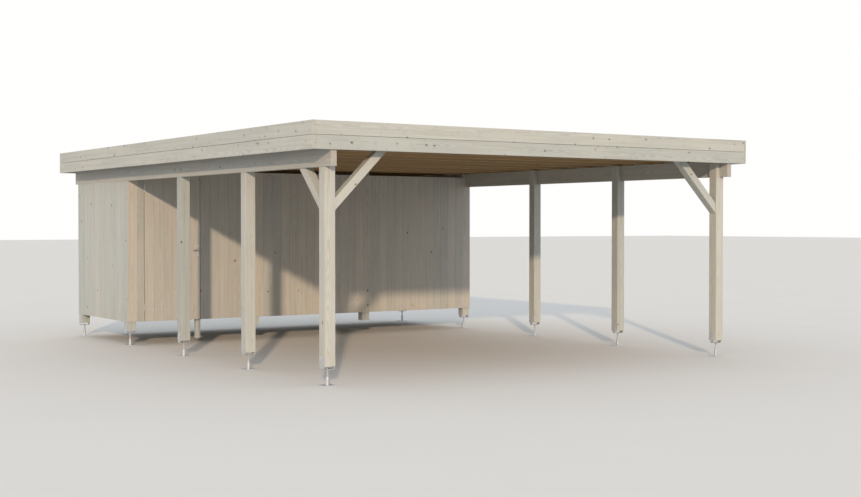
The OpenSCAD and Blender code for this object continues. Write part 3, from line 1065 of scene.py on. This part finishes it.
class CARPORT_OT_door(bpy.types.Operator):
    """Door leaf with its boards, ledges, screws, lock plate, lever and hinges"""

    bl_idname = "carport.door"
    bl_label = "Door"

    def execute(self, context):
        s = settings("timber")
        low, high = box_of("door_boards")
        put("door_boards_tongued", boarding(low, high, X, Z, -Y, s.wall_pitch, "door"),
            ["door_boards"])
        timbers("door_ledges", s.board_arris)
        count = round((high[0] - low[0]) / s.wall_pitch)
        pitch = (high[0] - low[0]) / count
        lock_low, lock_high = box_of("lock_plate")
        from_edge, clear = 0.03, 0.006
        places = [(low[0] + (k + t) * pitch, low[1], z)
                  for lo, hi in solids("door_ledges")
                  for z in (lo[2] + from_edge, hi[2] - from_edge)
                  for k in range(count) for t in (0.25, 0.75)]
        places = [p for p in places if not (lock_low[0] - clear < p[0] < lock_high[0] + clear
                                            and lock_low[2] < p[2] < lock_high[2])]
        fixings("door_screws", places, -Y, s.nail, 0.0005, steel=DOOR_STEEL)

        corner, plate_arris, screw_inset, key_drop = 0.006, 0.0008, 0.011, 0.045
        outline = rounded(lock_low[[0, 2]], lock_high[[0, 2]], corner)
        plate = prism(outline, (-lock_high[1], -lock_low[1]), UPRIGHT, plate_arris)
        middle = (lock_low[0] + lock_high[0]) / 2
        screws = [(middle, lock_low[1], z)
                  for z in (lock_low[2] + screw_inset, lock_high[2] - screw_inset)]
        lever_low, lever_high = box_of("door_lever")
        level = (lever_low[2] + lever_high[2]) / 2
        key = (middle, lock_low[1], level - key_drop)
        parts = [plate] + heads(screws, -Y, 0.004, 0.0008, 16)
        parts.append(lathe([(0, 0.011), (0.004, 0.011), (0.005, 0.010), (0.005, 0.0055),
                            (0.0035, 0.005)], key, -Y, 28))
        put("lock_plate_pressed", parts, ["lock_plate"], smooth=ROUND_FITTINGS)

        axis_x = lever_high[0] - (lever_high[2] - lever_low[2]) / 2
        face = lock_low[1]
        reach = face - lever_low[1]
        grip, bend, tip, sweep_in = 0.0075, 0.016, 0.007, 0.004
        neck_radius, grip_radius = 0.0085, 0.0082
        out = reach - grip
        turn = np.linspace(0, math.pi / 2, 9)
        neck = [(axis_x, face - t, level) for t in np.linspace(0.0006, out - bend, 5)]
        arc = [(axis_x - bend * (1 - math.cos(t)), face - out + bend - bend * math.sin(t), level)
               for t in turn[1:]]
        cap = np.linspace(0, 0.47 * math.pi, 7)[1:]
        length = axis_x - bend - lever_low[0] - tip
        run = np.linspace(0, 1, 12)[1:]
        tail = [(axis_x - bend - length * t, face - out + sweep_in * t * t, level) for t in run]
        end = [(axis_x - bend - length - tip * math.sin(t), face - out + sweep_in, level)
               for t in cap]
        path = np.array(neck + arc + tail + end)
        shape = np.concatenate([np.full(len(neck), neck_radius), np.full(len(arc), grip_radius),
                                grip_radius - (grip_radius - tip) * run, tip * np.cos(cap)])
        rose = lathe([(0.0002, 0.0165), (0.004, 0.0165), (0.0062, 0.0145), (0.0066, 0.009)],
                     (axis_x, face, level), -Y, 32)
        half, spindle_arris, into_plate = 0.0035, 0.0005, 0.001
        square = rectangle((axis_x - half, level - half), (axis_x + half, level + half))
        spindle = prism(cut_corners(square, spindle_arris),
                        (-lever_high[1], -face - into_plate), UPRIGHT, spindle_arris)
        put("door_lever_bent", [sweep(path, shape), rose, spindle], ["door_lever"],
            smooth=ROUND_FITTINGS)
        for node in ("door_hinge_leaves", "frame_hinge_leaves"):
            dress(node)
        return {"FINISHED"}


class CARPORT_OT_anchors(bpy.types.Operator):
    """Height-adjustable post anchors: bent brackets, coach screws, nuts, threads and welds"""

    bl_idname = "carport.anchors"
    bl_label = "Post anchors"

    def execute(self, context):
        s = settings("steel")
        in_tube, in_nut, off_middle, from_web, from_top = 0.03, 0.004, 0.014, 0.050, 0.022
        thread_radius, nut_flats, near = 0.0100, 0.030, 0.03
        for side in SIDES:
            node, base = "anchor_brackets_" + side, "anchor_bases_" + side
            nut_low, web_low, web_high, top = levels(node, 2)[1:]
            plate_top, tube_top = levels(base, 2)[1:3]
            tube = corners(base)
            parts, welds = [], []
            for low, high in solids(node):
                mid = (low + high) / 2
                at = (mid[0], mid[1])
                sheet = web_high - web_low
                parts.append(self.bracket(low, high, web_low, top, sheet, s.bend))
                parts.append(lathe([(0, 0.0150), (0.0018, 0.0172), (web_low - nut_low, 0.0172)],
                                   (*at, nut_low), Z, 48, flats=nut_flats))
                parts.append(thread(at, tube_top - in_tube, nut_low + in_nut, thread_radius,
                                    s.thread))
                parts.append(lathe([(web_high, 0.0085), (web_high + 0.009, 0.0085),
                                    (web_high + 0.010, 0.0070)], (*at, 0), Z, 20))
                for out in (-1, 1):
                    flank = high[0] if out > 0 else low[0]
                    heights = np.linspace(web_high + from_web, top - from_top, s.screws_up)
                    for k, z in enumerate(heights):
                        y = mid[1] + (off_middle if k % 2 else -off_middle)
                        parts.append(lathe([(0, 0.0105), (0.0012, 0.0105), (0.0016, 0.0098)],
                                           (flank, y, z), out * X, 20))
                        parts.append(lathe([(0.0014, 0.0078), (0.0058, 0.0078), (0.0070, 0.0062)],
                                           (flank, y, z), out * X, 24, flats=s.screw_head))
                ring = tube[(np.hypot(tube[:, 0] - at[0], tube[:, 1] - at[1]) < near)
                            & (np.abs(tube[:, 2] - tube_top) < 1e-4)]
                outer = np.hypot(ring[:, 0] - at[0], ring[:, 1] - at[1]).max()
                welds.append(self.bead(at, plate_top, outer, s.weld))
            put(node + "_bent", parts, [node], smooth=ROUND_FITTINGS)
            put(base + "_welds", welds, like=base, smooth=ROUND_WELDS)
            dress(base)
        return {"FINISHED"}

    @staticmethod
    def bracket(low, high, bottom, top, sheet, bend):
        """A U of bent plate: down one side, round two bends of a quarter circle, up the other."""
        cut_edge = 0.0006
        turn = np.linspace(0, math.pi / 2, 7)
        outer = bend + sheet
        x0, x1 = low[0], high[0]
        left = np.column_stack([x0 + outer * (1 - np.cos(turn)),
                                bottom + outer * (1 - np.sin(turn))])
        right = np.column_stack([x1 - outer * (1 - np.sin(turn)),
                                 bottom + outer * (1 - np.cos(turn))])
        inner_right = np.column_stack([x1 - sheet - bend * (1 - np.cos(turn)),
                                       bottom + sheet + bend * (1 - np.sin(turn))])
        inner_left = np.column_stack([x0 + sheet + bend * (1 - np.sin(turn)),
                                      bottom + sheet + bend * (1 - np.cos(turn))])
        outline = np.concatenate([[(x0, top)], left, right, [(x1, top), (x1 - sheet, top)],
                                  inner_right, inner_left, [(x0 + sheet, top)]])
        return prism(outline, (-high[1], -low[1]), UPRIGHT, cut_edge)

    @staticmethod
    def bead(at, level, radius, leg, around=72):
        """A weld: a quarter-round fillet whose leg swells and shrinks along the seam."""
        angle = np.arange(around) * 2 * math.pi / around
        into_tube, into_plate = 0.001, 0.0005
        swell = leg * (1 + 0.10 * np.sin(18 * angle) + 0.05 * np.sin(7 * angle + 1))
        turn = np.linspace(0, math.pi / 2, 6)
        r = radius - into_tube + swell[None, :] * np.cos(turn)[:, None]
        z = level - into_plate + swell[None, :] * np.sin(turn)[:, None]
        rings = np.stack([r * np.cos(angle) + at[0], r * np.sin(angle) + at[1], z], 2)
        return loft(rings)


class CARPORT_OT_stage(bpy.types.Operator):
    """Pale floor, soft light and the camera"""

    bl_idname = "carport.stage"
    bl_label = "Stage"

    def execute(self, context):
        s = settings("stage")
        size = s.floor_size
        ground = CAD_LOW[2]
        patch_tone = 0.985
        low_sky, high_sky = 0.12, 0.75
        mesh = bpy.data.meshes.new("floor")
        mesh.from_pydata([(-size, -size, ground), (size, -size, ground), (size, size, ground),
                          (-size, size, ground)], [], [(0, 1, 2, 3)])
        floor = bpy.data.objects.new("floor", mesh)
        context.scene.collection.objects.link(floor)
        made, tree, shader = material("studio_floor", Roughness=0.9)
        shader.inputs["Specular IOR Level"].default_value = 0.1
        place = add(tree, "ShaderNodeTexCoord").outputs["Object"]
        patch = noise(tree, place, (0.6, 0.6, 0.6), 3.0)
        colour = tuple(s.floor)
        tree.links.new(mix(tree, spread(tree, patch, 0.3, 0.7, 0.0, 1.0), colour,
                           tuple(v * patch_tone for v in colour)), shader.inputs["Base Color"])
        mesh.materials.append(made)
        floor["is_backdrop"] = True

        world = bpy.data.worlds.new("studio")
        context.scene.world = world
        world.use_nodes = True
        tree = world.node_tree
        back = tree.nodes["Background"]
        toward = add(tree, "ShaderNodeTexCoord").outputs["Generated"]
        rise = add(tree, "ShaderNodeSeparateXYZ", {0: toward}).outputs[2]
        tree.links.new(mix(tree, spread(tree, rise, low_sky, high_sky, 0.0, 1.0), tuple(s.horizon),
                           tuple(s.zenith)), back.inputs["Color"])
        back.inputs["Strength"].default_value = s.sky

        lamp = bpy.data.lights.new("key", "SUN")
        lamp.energy = s.key
        lamp.angle = s.key_width
        lamp.color = s.key_colour
        key = bpy.data.objects.new("key", lamp)
        key.rotation_mode = "QUATERNION"
        key.rotation_quaternion = Vector(s.key_way).to_track_quat("-Z", "Y")
        context.scene.collection.objects.link(key)

        view = bpy.data.cameras.new("camera")
        view.lens = s.lens
        view.sensor_width = 36.0
        view.clip_end = 1000.0
        camera = bpy.data.objects.new("camera", view)
        camera.location = s.eye
        look = Vector((math.sin(s.heading) * math.cos(s.dip),
                       math.cos(s.heading) * math.cos(s.dip), -math.sin(s.dip)))
        camera.rotation_mode = "QUATERNION"
        camera.rotation_quaternion = look.to_track_quat("-Z", "Y")
        context.scene.collection.objects.link(camera)
        context.scene.camera = camera
        context.scene.view_settings.view_transform = "Standard"
        return {"FINISHED"}


class CARPORT_PT_panel(bpy.types.Panel):
    """The carport's pieces in the sidebar"""

    bl_idname = "CARPORT_PT_panel"
    bl_label = "Timber carport"
    bl_space_type = "VIEW_3D"
    bl_region_type = "UI"
    bl_category = "Carport"

    def draw(self, context):
        for group in GROUPS:
            box = self.layout.box()
            held = settings(group)
            for key in held.__annotations__:
                box.prop(held, key)
        for operator in OPERATORS:
            self.layout.operator(operator.bl_idname)


GROUPS = {
    "timber": CARPORT_PG_timber,
    "roofing": CARPORT_PG_roofing,
    "steel": CARPORT_PG_steel,
    "colours": CARPORT_PG_colours,
    "stage": CARPORT_PG_stage,
}
OPERATORS = (
    CARPORT_OT_posts, CARPORT_OT_beams, CARPORT_OT_braces, CARPORT_OT_roof, CARPORT_OT_fascia,
    CARPORT_OT_walls, CARPORT_OT_framing, CARPORT_OT_door, CARPORT_OT_anchors, CARPORT_OT_stage,
)


def register():
    """Registers the classes, and hangs the settings on the scene."""
    for made in (*GROUPS.values(), *OPERATORS, CARPORT_PT_panel):
        bpy.utils.register_class(made)
    for name, group in GROUPS.items():
        setattr(bpy.types.Scene, "carport_" + name, PointerProperty(type=group))


def unregister():
    """Takes the settings off the scene, and the classes away."""
    for name in GROUPS:
        delattr(bpy.types.Scene, "carport_" + name)
    for made in (CARPORT_PT_panel, *reversed(OPERATORS), *GROUPS.values()):
        bpy.utils.unregister_class(made)


def main():
    """Makes every piece and the stage."""
    register()
    for operator in OPERATORS:
        getattr(bpy.ops.carport, operator.bl_idname.split(".")[1])()


if __name__ == "__main__":
    main()
